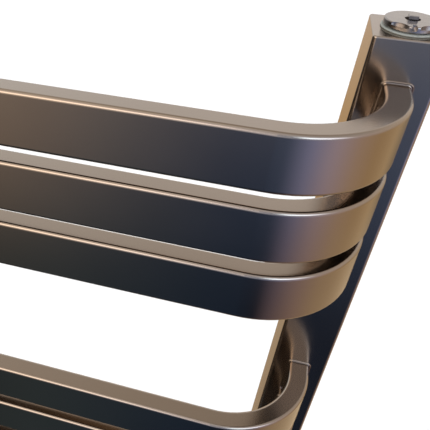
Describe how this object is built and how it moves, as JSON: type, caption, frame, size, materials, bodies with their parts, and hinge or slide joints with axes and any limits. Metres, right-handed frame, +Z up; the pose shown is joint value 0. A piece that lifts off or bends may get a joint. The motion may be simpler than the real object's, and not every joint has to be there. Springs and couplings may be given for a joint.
{
  "type": "towel warmer rack",
  "caption": "Wall-hung ladder towel radiator: bowed flat tubes in groups between two square collectors, with an air vent, a blank plug and adjustable wall brackets.",
  "frame": {"origin": "on the wall, at the centre of the four bracket screws", "axes": "+Z up along the collectors, -Y out of the wall into the room, +X to the right as seen from the room"},
  "size_m": [0.5, 0.158, 1.1214],
  "materials": {
    "bronze_lacquer": "satin metallic bronze lacquer",
    "plated_brass": "nickel-plated brass, lightly brushed",
    "gasket_rubber": "grey-green sealing rubber, matte",
    "bright_steel": "zinc-plated",
    "bracket_steel": "plain turned steel"
  },
  "bodies": {
    "wall_fixings": {"bracket_cup_bottom_left": "bronze_lacquer", "bracket_cup_bottom_right": "bronze_lacquer", "bracket_cup_top_left": "bronze_lacquer", "bracket_cup_top_right": "bronze_lacquer", "bracket_rose_bottom_left": "bronze_lacquer", "bracket_rose_bottom_right": "bronze_lacquer", "bracket_rose_top_left": "bronze_lacquer", "bracket_rose_top_right": "bronze_lacquer", "grub_screws": "bright_steel"},
    "radiator": {"bar_01": "bronze_lacquer", "bar_02": "bronze_lacquer", "bar_03": "bronze_lacquer", "bar_04": "bronze_lacquer", "bar_05": "bronze_lacquer", "bar_06": "bronze_lacquer", "bar_07": "bronze_lacquer", "bar_08": "bronze_lacquer", "bar_09": "bronze_lacquer", "bar_10": "bronze_lacquer", "bar_11": "bronze_lacquer", "bar_12": "bronze_lacquer", "bar_13": "bronze_lacquer", "bar_14": "bronze_lacquer", "bar_15": "bronze_lacquer", "bar_welds_left": "bronze_lacquer", "bar_welds_right": "bronze_lacquer", "blank_plug": "plated_brass", "bracket_stud_bottom_left": "bracket_steel", "bracket_stud_bottom_right": "bracket_steel", "bracket_stud_top_left": "bracket_steel", "bracket_stud_top_right": "bracket_steel", "collector_left": "bronze_lacquer", "collector_right": "bronze_lacquer", "end_cap_bottom_left": "bronze_lacquer", "end_cap_bottom_right": "bronze_lacquer", "end_cap_top_left": "bronze_lacquer", "end_cap_top_right": "bronze_lacquer", "gasket_blank": "gasket_rubber", "gasket_vent": "gasket_rubber", "ring_clip": "bright_steel", "vent_body": "plated_brass"},
    "vent_ring": {"vent_ring": "plated_brass"},
    "bleed_screw": {"bleed_screw": "plated_brass"}
  },
  "joints": [
    {"name": "wall_distance", "type": "slide", "parent": "wall_fixings", "child": "radiator", "axis": [0, -1, 0], "range_m": [-0.008, 0.006]},
    {"name": "vent_ring_turn", "type": "hinge", "parent": "radiator", "child": "vent_ring", "pos_m": [0.23, -0.058, 0.56], "axis": [0, 0, 1], "continuous": true},
    {"name": "bleed_screw_turn", "type": "hinge", "parent": "radiator", "child": "bleed_screw", "pos_m": [0.23, -0.058, 0.556], "axis": [0, 0, 1], "range_deg": [0, 540]}
  ]
}
